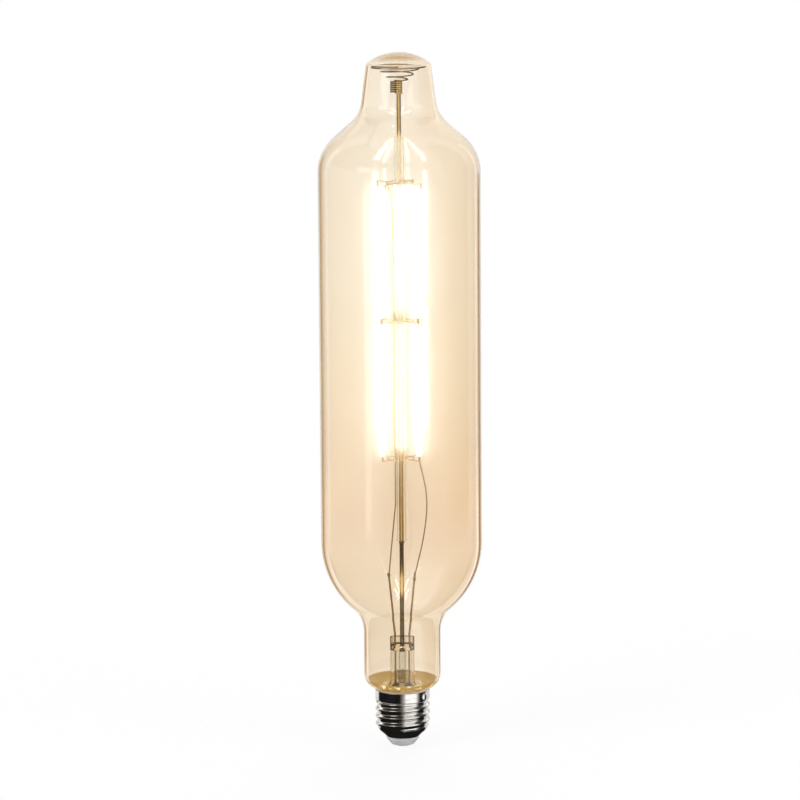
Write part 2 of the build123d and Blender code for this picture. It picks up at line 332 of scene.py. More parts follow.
def dress(piece, finish, slot, *replaced):
    if not piece.data.materials:
        piece.data.materials.append(finishes[finish])
    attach(piece, "root")
    if replaced:
        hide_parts(*replaced)


# finishes

amber = dict(
    ior=1.5, absorb=(0.9, 0.591, 0.077), density=150.0, wave=0.04, waveScale=25,
    # the side span and its tone are painted shade, darker over one side of the glass
    waveStretch=(1, 1, 0.4), waveDepth=2 * mm, shadedSide=(0.0, 0.019),
    sideShade=(0.995, 0.976, 0.951), clearShare=0.75, haze=0.52, hazeRise=(0.112, 0.142),
    hazeFall=(0.276, 0.298),
    tones=[
        (0.0318, (0.97, 0.9, 0.75)), (0.0328, (0.965, 0.945, 0.915)), (0.042, (0.965, 0.94, 0.9)),
        (0.054, (0.942, 0.903, 0.845)), (0.072, (0.98, 0.948, 0.9)), (0.088, (0.96, 0.912, 0.85)),
        (0.105, (0.945, 0.876, 0.803)), (0.118, (0.962, 0.893, 0.81)), (0.14, (0.995, 0.94, 0.86)),
        (0.168, (1, 0.962, 0.895)), (0.2, (1, 0.978, 0.922)), (0.22, (1, 0.985, 0.945)),
        (0.264, (0.996, 0.985, 0.952)), (0.306, (1, 1, 1)), (0.316, (0.98, 0.976, 0.973)),
        # the last stops paint shade on the dome, where it is seen edge-on
        (0.3283, (0.98, 0.976, 0.973)), (0.3305, (0.77, 0.66, 0.48)),
    ],
)


def wavyGlass(name, look, absorb, density, ior):
    material, tree, shader = newMaterial(name, (absorb, density))
    waves = objectNoise(tree, look["waveScale"], stretch=look["waveStretch"])
    relief = bump(waves, look["wave"], look["waveDepth"])
    feed(shader, {"IOR": ior, "Transmission Weight": 1, "Normal": relief})
    return material, tree, shader


def amberGlass():
    material, tree, shader = wavyGlass("amberGlass", amber, amber["absorb"], amber["density"], amber["ior"])
    place = objectPlace(tree)
    along = addNode(tree, "ShaderNodeSeparateXYZ", {"Vector": place}).outputs
    level, side = along["Z"], between(along["X"], amber["shadedSide"])
    # deeper low down on the body, with painted shade on one side, and painted shade deepest on the dome
    # where it is seen edge-on
    tone = mixColour(side, byLevel(level, amber["tones"]), amber["sideShade"], "MULTIPLY")
    # specks too fine to see spread the filaments' light into a glow
    speck = shade(tree, "TexWhiteNoise", {"Vector": place}, "Value")
    haze = between(speck, (amber["clearShare"], 1.0), (0.0, amber["haze"]))
    haze = times(haze, between(level, amber["hazeRise"]))
    haze = times(haze, between(level, amber["hazeFall"], (1.0, 0.0)))
    feed(shader, {"Base Color": tone, "Roughness": haze})
    return material


drawnGlass = dict(
    colour=(0.97, 0.98, 0.97, 1), waveScale=180, waveStretch=(1, 1, 0.2), wave=0.06,
    waveDepth=0.3 * mm,
)


def clearGlass(name, absorb, density, ior=1.5):
    material, tree, shader = wavyGlass(name, drawnGlass, absorb, density, ior)
    feed(shader, {"Base Color": drawnGlass["colour"], "Roughness": 0})
    return material


metalGrain = dict(metallic=1, detail=5.0, tones=(0.3, 0.7), gloss=(0.7, 1.4), relief=0.05, depth=0.05 * mm)
plainGrain = dict(metallic=0, detail=6.0, tones=(0.3, 0.7), gloss=(0.8, 1.2), relief=0.1, depth=0.1 * mm)


def grained(look, name, dark, bright, rough, scale, relief=None, stretch=(1, 1, 1)):
    # colour, gloss and relief follow the same grain
    material, tree, shader = newMaterial(name)
    grain = objectNoise(tree, scale, look["detail"], stretch)
    feed(shader, {
        "Base Color": ramp(grain, list(zip(look["tones"], (dark, bright)))),
        "Roughness": spread(grain, *(rough * share for share in look["gloss"])),
        "Metallic": look["metallic"], "Normal": bump(grain, relief or look["relief"], look["depth"]),
    })
    return material


metal, plain = partial(grained, metalGrain), partial(grained, plainGrain)
wireLook = dict(
    blend=0.45, scale=900, detail=4.0, stretch=(1, 1, 0.06), grain=0.1, gloss=(0.7, 1.4), bands=0.5,
    ridges=(0.8, -0.25), faceRim=(0.02, 0.38), glowLitRange=(0.52, 0.2), glowLitColour=(0.98, 0.9, 0.72),
    edge=(0.6, 0.4, 0.1, 1),
)


def drawnWire(name, face, rim, rough, bands=None, ridges=None):
    # painted highlight along the middle and painted shade along both sides, as wire looks in soft light
    look = wireLook
    material, tree, shader = newMaterial(name)
    facing = shade(tree, "LayerWeight", {"Blend": look["blend"]}, "Facing")
    grain = objectNoise(tree, look["scale"], look["detail"], look["stretch"])
    tone = plus(facing, spread(grain, -look["grain"], look["grain"]))
    level = shade(tree, "SeparateXYZ", {"Vector": objectPlace(tree)}, "Z")
    if bands:
        # painted shade and painted highlight on given lengths of the wire
        grey = byLevel(level, [(at, (share,) * 3) for at, share in bands])
        tone = plus(tone, spread(grey, -look["bands"], look["bands"]))
    if ridges:
        # painted highlight on each ridge's crest and painted shade in each groove, drawn as stripes on the
        # flat lug too
        low, pitch = ridges
        phase = times(minus(level, low), pi / pitch)
        crest = math2("ABSOLUTE", math2("SINE", phase))
        tone = plus(tone, spread(crest, *look["ridges"]))
    # the face colour is the painted highlight and the rim colour the painted shade
    colour = ramp(tone, list(zip(look["faceRim"], (face, rim))))
    if bands:
        # painted light: near white along the brightest length, beside the filaments, where their glow falls
        colour = mixColour(between(grey, look["glowLitRange"]), colour, look["glowLitColour"])
    gloss = spread(grain, *(rough * share for share in look["gloss"]))
    feed(shader, {"Base Color": colour, "Roughness": gloss, "Metallic": 1, "Specular Tint": look["edge"]})
    return material


sealLook = dict(
    scale=260, detail=6.0, grain=0.3, rough=0.12, relief=(0.5, 0.1 * mm), gleam=(0.55, 0.75),
    # the glow and its strength are a painted glow, as the seal is no lamp
    glow=(1, 0.72, 0.26, 1), strength=0.18,
    tones=[
        (0.0, (0.5, 0.31, 0.07)), (0.3, (0.72, 0.48, 0.14)), (0.4, (1, 0.91, 0.45)),
        (0.62, (1, 0.98, 0.62)), (0.8, (1, 1, 0.96)),
    ],
)


def sealAmber():
    # amber, paler above, with painted glints as white metallic specks, and a painted glow that stands in for
    # light running down in the glass
    look = sealLook
    material, tree, shader = newMaterial("sealAmber")
    grain = objectNoise(tree, look["scale"], look["detail"])
    glintTone = shade(tree, "Attribute", socket="Fac", attribute_name="glintTone")
    tone = plus(spread(grain, 0.0, look["grain"]), glintTone)
    feed(shader, {
        "Base Color": ramp(tone, look["tones"]), "Roughness": look["rough"],
        "Metallic": between(glintTone, look["gleam"]), "Normal": bump(grain, *look["relief"]),
        "Emission Color": look["glow"], "Emission Strength": look["strength"],
    })
    return material


lamp = dict(
    glow=(0.92, 0.95, 1.0), strength=48.0, dip=0.85, chipsPerMetre=650.0, uneven=0.4, rough=0.5,
    coat=[(0.0, (0.95, 0.66, 0.24)), (1.0, (1.0, 0.8, 0.4))],
)


def phosphor():
    # the coat glows, a little brighter over each chip along the strip
    material, tree, shader = newMaterial("phosphor")
    waves = {"Scale": lamp["chipsPerMetre"] / tau, "Distortion": lamp["uneven"]}
    waves["Vector"] = objectPlace(tree)
    chips = shade(tree, "TexWave", waves, "Fac", bands_direction="Z")
    feed(shader, {
        "Base Color": ramp(chips, lamp["coat"]), "Roughness": lamp["rough"],
        "Emission Color": (*lamp["glow"], 1),
        "Emission Strength": spread(chips, lamp["strength"] * lamp["dip"], lamp["strength"]),
    })
    return material


# level and painted shade of each length of the rod, 0.5 neither dark nor bright, lower values a painted
# highlight
rodPaintedLight = (
    (0.0478, 0.78), (0.072, 0.78), (0.0755, 0.43), (0.082, 0.43), (0.086, 0.72), (0.091, 0.85),
    (0.0992, 0.92), (0.1, 0.6), (0.137, 0.6), (0.143, 0.2), (0.29, 0.2), (0.296, 0.62), (0.313, 0.62),
)
ferruleLow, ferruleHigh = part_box("spring_ferrule")
ferrule = dict(
    ridges=6, ridgeRows=10, lugShare=0.8,
    **sizes(ridgeDepth=0.22, bore=1.03, lug=0.9, lugFoot=0.5, lugEdge=0.25),
)
ferruleRidges = (ferruleLow.z, (ferruleHigh.z - ferruleLow.z) / ferrule["ridges"])
finishes = dict(
    amberGlass=amberGlass(),
    clearGlass=clearGlass("clearGlass", (0.9, 0.8, 0.6), 10.0),
    sleeveGlass=clearGlass("sleeveGlass", (0.9, 0.8, 0.6), 10.0, 1.25),
    stemGlass=clearGlass("stemGlass", (0.85, 0.68, 0.38), 110.0),
    phosphor=phosphor(),
    rod=drawnWire("rodMetal", (0.95, 0.7, 0.24), (0.08, 0.045, 0.004), 0.22, rodPaintedLight),
    spring=drawnWire("springMetal", (0.5, 0.33, 0.1), (0.015, 0.008, 0.002), 0.25),
    ferrule=drawnWire("ferruleMetal", (0.85, 0.62, 0.3), (0.05, 0.025, 0.005), 0.25, ridges=ferruleRidges),
    lug=drawnWire("lugMetal", (0.42, 0.36, 0.26), (0.04, 0.03, 0.02), 0.3, ridges=ferruleRidges),
    lead=drawnWire("leadWire", (0.42, 0.26, 0.03), (0.07, 0.04, 0.003), 0.3),
    ring=drawnWire("ringWire", (0.68, 0.54, 0.32), (0.2, 0.14, 0.06), 0.3),
    nickel=metal("capNickel", (0.5, 0.48, 0.44), (0.66, 0.65, 0.62), 0.13, 260, stretch=(1, 1, 2.5)),
    solder=metal("solderMetal", (0.55, 0.56, 0.6), (0.75, 0.76, 0.8), 0.2, 500, relief=0.3),
    contact=metal("contactMetal", (0.42, 0.4, 0.36), (0.6, 0.57, 0.5), 0.3, 600),
    cement=plain("basingCement", (0.84, 0.83, 0.8), (0.94, 0.93, 0.91), 0.85, 900, 0.4),
    insulator=plain("insulatorGrey", (0.56, 0.56, 0.57), (0.7, 0.7, 0.71), 0.4, 300),
    seal=sealAmber(),
    board=plain("boardLaminate", (0.04, 0.16, 0.07), (0.07, 0.24, 0.11), 0.5, 500),
    chip=plain("chipPlastic", (0.02, 0.02, 0.02), (0.04, 0.04, 0.04), 0.55, 700),
    can=metal("capacitorCan", (0.2, 0.2, 0.22), (0.3, 0.3, 0.33), 0.35, 500),
    resistor=plain("resistorLacquer", (0.2, 0.38, 0.32), (0.3, 0.5, 0.42), 0.35, 600),
)
print("finishes made:", len(finishes))


# glass envelope

collarLow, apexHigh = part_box("glass_envelope")
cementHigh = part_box("basing_cement")[1].z
capLow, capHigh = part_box("cap_shell")
glass = dict(
    lowerAngle=radians(47.7), upperAngle=radians(48.9), edgeSteps=16, domeSteps=24, steps=192,
    **sizes(
        wall=1.2, collar=10.4, neck=18.35, neckFloorBlend=7.0, neckLength=34.3, neckBlend=15.13,
        lowerBlend=42.83, upperBlend=21.5, nippleLength=29.1, nippleRoot=18.4, nippleRootBlend=15.3,
        nippleTip=15.25, nippleEdge=2.2, domeRise=5.3,
    ),
)


def glassOutline():
    body = apexHigh.x
    neckTop = cementHigh + glass["neckLength"]
    bodyLow = neckTop + (body - glass["neck"]) / tan(glass["lowerAngle"])
    nippleLow = apexHigh.z - glass["nippleLength"]
    bodyHigh = nippleLow - (body - glass["nippleRoot"]) / tan(glass["upperAngle"])
    tip, rise, edge = glass["nippleTip"], glass["domeRise"], glass["nippleEdge"]
    domeRadius = (tip**2 + rise**2) / (2 * rise)
    centre = Vector((0, apexHigh.z - domeRadius))
    # the edge blend touches the side of the nipple and the dome
    root = Vector((glass["nippleRoot"], nippleLow))
    along = (Vector((tip, apexHigh.z - rise)) - root).normalized()
    inward = Vector((-along.y, along.x))
    start = root + inward * edge - centre
    lean = start.dot(along)
    run = -lean + sqrt(lean**2 - start.length_squared + (domeRadius - edge) ** 2)
    pivot = root + inward * edge + along * run
    touch = pivot - inward * edge
    corners = [
        (glass["collar"], collarLow.z), (glass["collar"], cementHigh),
        (glass["neck"], cementHigh, glass["neckFloorBlend"]), (glass["neck"], neckTop, glass["neckBlend"]),
        (body, bodyLow, glass["lowerBlend"]), (body, bodyHigh, glass["upperBlend"]),
        (root.x, root.y, glass["nippleRootBlend"]), (touch.x, touch.y),
    ]
    side = rounded(corners, step=radians(2))
    spoke = pivot - centre
    low, high = atan2(-inward.y, -inward.x), atan2(spoke.y, spoke.x)
    for middle, radius, first, last, count in (
        (pivot, edge, low, high, glass["edgeSteps"]),
        (centre, domeRadius, high, pi / 2, glass["domeSteps"]),
    ):
        for k in range(1, count + 1):
            turn = first + (last - first) * k / count
            side.append(middle + Vector((cos(turn), sin(turn))) * radius)
    side[-1].x = 0
    return side


outer = glassOutline()
inner = offset(outer, glass["wall"])
inner[-1].x = 0
inner[0].y = collarLow.z
envelope = lathe("glassEnvelope", outer + inner[::-1], glass["steps"], sharp=50)
dress(envelope, "amberGlass", "amber_glass", "glass_envelope")
print("glass envelope:", len(envelope.data.polygons), "faces")


# fused seal inside the floor of the neck, beaded round the stem; a glint is base, gain and noise scale of
# the painted glints

seal = dict(
    **sizes(depth=0.55, film=0.1, foot=6.85, reach=32.9, rim=9.0, rise=1.1, width=0.9, edge=1.3),
    uneven=0.4, unevenScale=900, topTone=0.3, rimGlint=(0.1, 2.0, 800),
    edgeGlint=(-0.3, 4.0, 520), floorSteps=24, steps=120,
)


def glintAt(place, base, gain, scale):
    return max(0, base + gain * noise(place * scale))


def fusedSeal():
    flat = [p for p in offset(outer, seal["depth"]) if p.y < seal["reach"] and p.x > glass["collar"]]
    step = (flat[0].x - seal["foot"]) / seal["floorSteps"]
    under = [Vector((seal["foot"] + step * k, flat[0].y)) for k in range(seal["floorSteps"])] + flat
    over = offset(under, seal["film"])
    for place in over:
        place.y += seal["rise"] * exp(-(((place.x - seal["rim"]) / seal["width"]) ** 2))
    ring = lathe("fusedSeal", under + over[::-1], seal["steps"], sharp=60)
    glintTones = []
    # the attribute carries the tone and the painted glints: paler on top with glints along the bead's rim,
    # and glints at the outer edge toward the front and back
    for vertex in ring.data.vertices:
        if vertex.index >= seal["steps"] * len(under):
            away = (vertex.co.xy.length - seal["rim"]) / seal["width"]
            onRim = exp(-(away**2))
            rough = noise(vertex.co * seal["unevenScale"])
            vertex.co.z += seal["uneven"] * seal["rise"] * onRim * rough
            glintTones.append(seal["topTone"] + onRim * glintAt(vertex.co, *seal["rimGlint"]))
        else:
            away = (vertex.co.z - seal["reach"] + seal["edge"]) / seal["edge"]
            facing = (vertex.co.y / vertex.co.xy.length) ** 2
            glintTones.append(facing * exp(-(away**2)) * glintAt(vertex.co, *seal["edgeGlint"]))
    ring.data.attributes.new("glintTone", "FLOAT", "POINT").data.foreach_set("value", glintTones)
    return ring


dress(fusedSeal(), "seal", "amber_glass")


# pressed stem and exhaust tube

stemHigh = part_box("stem")[1]
stem = dict(
    **sizes(tube=5.85, wall=1.2, flare=5.0, pinch=7.0, pinchTaper=4.0, pinchHalf=2.3, lip=1.0, clear=0.03),
    arcs=(12, 16, 8), steps=96,
)


def stemRings():
    # half widths along and across the pinch, and level, up the outside and down the bore
    tube, wall, half, lip = (stem[key] for key in ("tube", "wall", "pinchHalf", "lip"))
    flareSteps, taperSteps, lipSteps = stem["arcs"]
    collar = glass["collar"]
    rim = collar - glass["wall"]
    top = collarLow.z - stem["clear"]

    def flared(narrow, base, k):
        turn = pi / 2 * k / flareSteps
        radius = narrow + (rim - narrow) * (1 - sin(turn))
        return radius, radius, base + stem["flare"] * (1 - cos(turn))

    rings = [(collar, collar, top - wall), (collar, collar, top), (rim, rim, top)]
    rings += [flared(tube, top, k) for k in range(1, flareSteps + 1)]
    pinchLow = stemHigh.z - stem["pinch"]
    for k in range(taperSteps + 1):
        ease = 0.5 - 0.5 * cos(pi * k / taperSteps)
        level = pinchLow + stem["pinchTaper"] * k / taperSteps
        rings.append((tube, tube + (half - tube) * ease, level))
    for k in range(lipSteps + 1):
        turn = pi / 2 * k / lipSteps
        tuck = lip * (1 - cos(turn))
        rings.append((tube - tuck, half - tuck, stemHigh.z - lip * (1 - sin(turn))))
    bore = tube - wall
    inside = [(bore, bore, pinchLow), (bore, bore, top + stem["flare"])]
    inside += [flared(bore, top - wall, k) for k in range(flareSteps - 1, 0, -1)]
    inside.append((rim, rim, top - wall))
    return rings, inside


def pressedStem():
    rings, inside = stemRings()
    hoops = [hoop(*ring, stem["steps"]) for ring in rings + inside]
    return skin("pressedStem", hoops, sharp=50, gap=len(rings) - 1)


dress(pressedStem(), "stemGlass", "clear_glass", "stem")

tubeLow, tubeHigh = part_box("exhaust_tube")
tube = sizes(wall=0.7, tip=3.0, clear=0.05, tipBlend=0.4, sideBlend=2.0, boreBlend=0.8)
tubeOut, tubeIn = tubeHigh.x, tubeHigh.x - tube["wall"]
tipLevel, mouthLevel = tubeLow.z + tube["tip"], tubeHigh.z - tube["clear"]
corners = [
    (0, tubeLow.z), (tube["wall"], tubeLow.z, tube["tipBlend"]), (tubeOut, tipLevel, tube["sideBlend"]),
    (tubeOut, mouthLevel), (tubeIn, mouthLevel), (tubeIn, tipLevel, tube["boreBlend"]), (0, tipLevel),
]
dress(lathe("exhaustTube", rounded(corners), steps=48), "clearGlass", "clear_glass", "exhaust_tube")
print("stem and exhaust tube done")


# post: rod and glass sleeve

rodLow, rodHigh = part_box("centre_rod")
sleeveLow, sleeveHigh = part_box("support_sleeve")
post = sizes(rod=1.0, rodEnd=0.2, beadHeight=0.9, beadFoot=0.3, beadEdge=0.4, sleeveWall=0.65, polish=0.25)
rod, beadLow, beadFoot = post["rod"], sleeveLow.z - post["beadHeight"], post["beadFoot"]
corners = [
    (0, rodLow.z), (rod, rodLow.z), (rod, beadLow, beadFoot),
    (rodHigh.x, sleeveLow.z - post["beadHeight"] / 2, post["beadEdge"]), (rod, sleeveLow.z, beadFoot),
    (rod, rodHigh.z, post["rodEnd"]), (0, rodHigh.z),
]
dress(lathe("centreRod", rounded(corners), steps=48), "rod", "rod_metal", "centre_rod")
sleeveOut = sleeveHigh.x
sleeveIn = sleeveOut - post["sleeveWall"]
sleeveMiddle = (sleeveLow.z + sleeveHigh.z) / 2
corners = [
    (sleeveOut, sleeveMiddle), (sleeveOut, sleeveHigh.z, post["polish"]),
    (sleeveIn, sleeveHigh.z, post["polish"]), (sleeveIn, sleeveLow.z, post["polish"]),
    (sleeveOut, sleeveLow.z, post["polish"]), (sleeveOut, sleeveMiddle),
]
sleeve = lathe("supportSleeve", rounded(corners, step=radians(15))[:-1], steps=64)
dress(sleeve, "sleeveGlass", "clear_glass", "support_sleeve")
print("post done")


# wire rings that carry the filaments

spider = {
    "Ring Radius": 6.4 * mm, "Arm Start": sleeveOut + 0.02 * mm, "Arm End": 12.8 * mm, "Arms": 4,
    "Wire Radius": 0.24 * mm,
}


def spiderTree():
    tree, given = newTree("wireSpider", {**spider, "First Azimuth": 0.0, "Level": 0.0})
    section = circle(given["Wire Radius"], sides=10)
    ring = sweep(circle(given["Ring Radius"], sides=64), section, False)
    start, end = (shade(tree, "CombineXYZ", {"X": given[key]}) for key in ("Arm Start", "Arm End"))
    arm = sweep(line(start, end), section)
    places = shape(tree, "Points", {"Count": given["Arms"]})
    share = math2("DIVIDE", tau, given["Arms"])
    turn = plus(times(shape(tree, "InputIndex"), share), given["First Azimuth"])
    around = shade(tree, "CombineXYZ", {"Z": turn})
    arms = shape(tree, "InstanceOnPoints", {"Points": places, "Instance": arm, "Rotation": around})
    lift = shade(tree, "CombineXYZ", {"Z": given["Level"]})
    raised = shape(tree, "Transform", {"Geometry": join(ring, arms), "Translation": lift})
    return endTree(raised, finishes["ring"])


cage = dict(firstAzimuth=radians(-45), twist=radians(13), **sizes(circle=12.2, clear=0.03))
spiderGrower = spiderTree()
ringAt = {}
for word, twist in (("bottom", 0), ("middle", 0), ("top", cage["twist"])):
    low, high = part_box(word + "_spider")
    ringAt[word] = (low.z + high.z) / 2
    place = {"First Azimuth": cage["firstAzimuth"] + twist, "Level": ringAt[word]}
    ring = grow(word + "Spider", spiderGrower, {**spider, **place})
    dress(ring, "ring", "lead_wire", word + "_spider")
print("wire rings done")


# filaments

filament = {
    "Coat Radius": 1.1 * mm, "Tab Length": 2.6 * mm, "Tab Width": 0.9 * mm, "Tab Thickness": 0.35 * mm,
}
bluntest = 0.3


def filamentTree():
    origin = Vector((0, 0, 0))
    tree, given = newTree("ledFilament", {**filament, "Low": origin, "High": origin})
    low, high = given["Low"], given["High"]

    def vectorMath(operation, values):
        return shade(tree, "VectorMath", values, operation=operation)

    along = vectorMath("NORMALIZE", {0: vectorMath("SUBTRACT", {0: high, 1: low})})
    tab = vectorMath("SCALE", {0: along, "Scale": given["Tab Length"]})
    coatLow = vectorMath("ADD", {0: low, 1: tab})
    coatHigh = vectorMath("SUBTRACT", {0: high, 1: tab})
    fine = shape(tree, "ResampleCurve", {"Curve": line(coatLow, coatHigh), "Count": 160})
    # both ends of the coat are rounded like a drop
    fromLow = shape(tree, "SplineParameter", socket="Length")
    fromHigh = minus(shape(tree, "SplineLength", socket="Length"), fromLow)
    share = math2("DIVIDE", math2("MINIMUM", fromLow, fromHigh), given["Coat Radius"])
    inside = minus(1.0, math2("MINIMUM", share, 1.0))
    taper = math2("SQRT", minus(1.0, times(inside, inside)))
    coat = sweep(fine, circle(given["Coat Radius"], sides=20), Scale=math2("MAXIMUM", taper, bluntest))
    parts = [paint(coat, finishes["phosphor"])]
    sides = {"Width": given["Tab Width"], "Height": given["Tab Thickness"]}
    plate = shape(tree, "CurvePrimitiveQuadrilateral", sides)
    for start, end in ((low, coatLow), (coatHigh, high)):
        parts.append(paint(sweep(line(start, end), plate), finishes["lead"]))
    return endTree(join(*parts))


filamentGrower = filamentTree()
clear = spider["Wire Radius"] + cage["clear"]
for tier, lowRing, highRing, twist in (
    ("lower", "bottom", "middle", 0), ("upper", "middle", "top", cage["twist"]),
):
    for n in range(spider["Arms"]):
        azimuth = cage["firstAzimuth"] + tau * n / spider["Arms"]
        low = onCircle(cage["circle"], azimuth, ringAt[lowRing] + clear)
        high = onCircle(cage["circle"], azimuth + twist, ringAt[highRing] - clear)
        strip = grow(f"{tier}Filament{n + 1}", filamentGrower, {**filament, "Low": low, "High": high})
        dress(strip, "phosphor", "phosphor", f"{tier}_filament_{n + 1}")
print("filaments done")


# lead wires

lead = sizes(
    stemRadius=0.45, radius=0.3, foot=3.325, pinchStart=4, weldRise=30.5, weldSpread=6.3, overlap=3.0,
    bow=1.6, bowStart=2.4, bowDrop=18.0, joinDrop=21.5, settle=6, fan=8.0, clear=0.05, hookReach=1.0,
    hookDrop=4,
)
leadBend, leadTurns = 0.2, (0.3, 0.55, 0.95)
knot = dict(radius=0.75 * mm, stretch=1.3, uneven=0.16, unevenScale=1500, rows=16, steps=24)


def stemLead(side):
    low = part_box(("left" if side < 0 else "right") + "_stem_lead")[0]
    foot = Vector((side * lead["foot"], 0, low.z))
    pinch = Vector((foot.x, 0, stemHigh.z))
    weld = Vector((side * lead["weldSpread"], 0, stemHigh.z + lead["weldRise"]))
    return [foot, pinch - Vector((0, 0, lead["pinchStart"])), pinch, pinch + (weld - pinch) * leadBend, weld]


def innerLead(side, rest):
    pinch, _, weld = stemLead(side)[2:]
    along = (weld - pinch).normalized()
    beside = Vector((0, -lead["stemRadius"] - lead["radius"], 0))
    return [weld - along * lead["overlap"] + beside, weld - along * mm + beside] + rest


def weldKnot(name, place):
    radius, rows = knot["radius"], knot["rows"]
    turns = [pi * (k / rows - 0.5) for k in range(rows + 1)]
    section = [(radius * max(0, cos(turn)), knot["stretch"] * radius * sin(turn)) for turn in turns]
    lump = lathe(name, section, knot["steps"])
    for vertex in lump.data.vertices:
        vertex.co *= 1 + knot["uneven"] * noise(vertex.co * knot["unevenScale"])
    lump.data.transform(Matrix.Translation(place))
    return lump


bottomLevel, topLevel = ringAt["bottom"], ringAt["top"]
besideSleeve = -(sleeveOut + lead["radius"] + lead["clear"])
besideRing = -(spider["Ring Radius"] - spider["Wire Radius"] - lead["radius"])
joinLevel = bottomLevel - lead["joinDrop"]
upSleeve = (joinLevel - mm, joinLevel + mm, joinLevel + lead["settle"], topLevel - lead["fan"])
leftRest = [Vector((besideSleeve, 0, level)) for level in upSleeve]
leftRest += [Vector((besideRing, 0, topLevel + rise)) for rise in (-mm, 0.5 * mm)]
bowed, turned = cage["circle"] + lead["bow"], cage["firstAzimuth"]
rightRest = [
    onCircle(bowed - lead["bowStart"], turned * leadTurns[0], bottomLevel - 2 * lead["bowDrop"]),
    onCircle(bowed, turned * leadTurns[1], bottomLevel - lead["bowDrop"]),
    onCircle(cage["circle"] + lead["hookReach"], turned * leadTurns[2], bottomLevel - lead["hookDrop"]),
    onCircle(cage["circle"], turned, bottomLevel - clear),
]
for side, word, rest in ((-1, "left", leftRest), (1, "right", rightRest)):
    path = innerLead(side, rest)
    lowWire = wire(word + "StemLead", stemLead(side), lead["stemRadius"])
    dress(lowWire, "lead", "lead_wire", word + "_stem_lead")
    dress(wire(word + "Lead", path, lead["radius"]), "lead", "lead_wire", word + "_lead")
    dress(weldKnot(word + "Weld", path[0 if side > 0 else 1]), "lead", "lead_wire")
print("lead wires done")


# locating spring and ferrule

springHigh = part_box("locating_spring")[1]
springWire, ringClimb = 0.31 * mm, 1.1 * mm
springFoot, ringLevel = ferruleHigh.z + springWire, springHigh.z - springWire - ringClimb
# turns, radius and level at the end of each stretch of the wire
springPlan = {
    "Start": (0.0, 1.55 * mm, springFoot),
    "Lead": (0.5, 4.2 * mm, springFoot + 0.3 * mm),
    "Cone": (2.0, 9.5 * mm, ringLevel - 0.7 * mm),
    "Flare": (0.5, springHigh.x - 2 * springWire, ringLevel),
    "Ring": (1.25, springHigh.x - 2 * springWire, springHigh.z - springWire),
}
spring = {"Start Azimuth": pi, "Wire Radius": springWire}
for stretch, sized in springPlan.items():
    spring.update(zip((stretch + " Turns", stretch + " Radius", stretch + " Level"), sized))


def springTree():
    tree, given = newTree("conicalSpring", spring)
    fine = shape(tree, "ResampleCurve", {"Curve": shape(tree, "CurvePrimitiveLine"), "Count": 480})
    share = shape(tree, "SplineParameter", socket="Factor")
    before, *stretches = springPlan
    allTurns = given["Start Turns"]
    for stretch in stretches:
        allTurns = plus(allTurns, given[stretch + " Turns"])
    left = turned = times(share, allTurns)
    radius, level = given["Start Radius"], given["Start Level"]
    for stretch in stretches:
        done = math2("DIVIDE", left, given[stretch + " Turns"])
        done = math2("MINIMUM", math2("MAXIMUM", done, 0.0), 1.0)
        left = minus(left, given[stretch + " Turns"])
        wider = minus(given[stretch + " Radius"], given[before + " Radius"])
        higher = minus(given[stretch + " Level"], given[before + " Level"])
        radius = plus(radius, times(wider, done))
        level = plus(level, times(higher, done))
        before = stretch
    angle = plus(times(turned, tau), given["Start Azimuth"])
    x, y = (times(radius, math2(wave, angle)) for wave in ("COSINE", "SINE"))
    place = shade(tree, "CombineXYZ", {"X": x, "Y": y, "Z": level})
    coil = shape(tree, "SetPosition", {"Geometry": fine, "Position": place})
    turns = sweep(coil, circle(given["Wire Radius"], sides=12))
    return endTree(turns, finishes["spring"])


dress(grow("locatingSpring", springTree(), spring), "spring", "spring_metal", "locating_spring")


def ribbedFerrule():
    radius = ferruleHigh.y
    height = ferruleHigh.z - ferruleLow.z
    rows = ferrule["ridges"] * ferrule["ridgeRows"]
    section = []
    for k in range(rows + 1):
        wave = abs(sin(pi * ferrule["ridges"] * k / rows))
        section.append((radius - ferrule["ridgeDepth"] * (1 - wave), ferruleLow.z + height * k / rows))
    section += [(ferrule["bore"], ferruleHigh.z), (ferrule["bore"], ferruleLow.z)]
    return lathe("springFerrule", section, steps=40, sharp=80)


def crimpedLug():
    half = ferrule["lug"] / 2
    levels = (ferruleLow.z + ferrule["lugFoot"], ferruleHigh.z)
    depths = (ferruleLow.x, -ferruleHigh.y * ferrule["lugShare"])
    corners = [(x, y, z) for x in depths for y in (-half, half) for z in levels]
    sides = [(0, 1, 3, 2), (4, 6, 7, 5), (0, 4, 5, 1), (2, 3, 7, 6), (0, 2, 6, 4), (1, 5, 7, 3)]
    block = finishMesh("ferruleLug", corners, sides)
    rounder = block.modifiers.new("edges", "BEVEL")
    rounder.width = ferrule["lugEdge"]
    rounder.segments = 3
    return block


dress(ribbedFerrule(), "ferrule", "spring_metal", "spring_ferrule")
dress(crimpedLug(), "lug", "spring_metal")
print("spring done")


# cap: rolled thread, skirt, foot

cap = dict(
    **sizes(
        thread=13.1, depth=1.0, sheet=0.4, bore=11.7, foot=8.3, footEdge=7.5, footBlend=0.3,
        shoulderBlend=3.0, pitch=3.629, start=2.04, top=22.9, bottom=9.0, lead=0.4, fade=1.6,
        skirtBlend=0.9, rim=0.25,
    ),
    rimSteps=9, rowsPerPitch=24, steps=160,
)
capRoot = cap["thread"] - cap["depth"]


def smoothStep(low, high, value):
    t = min(1, max(0, (value - low) / (high - low)))
    return t * t * (3 - 2 * t)


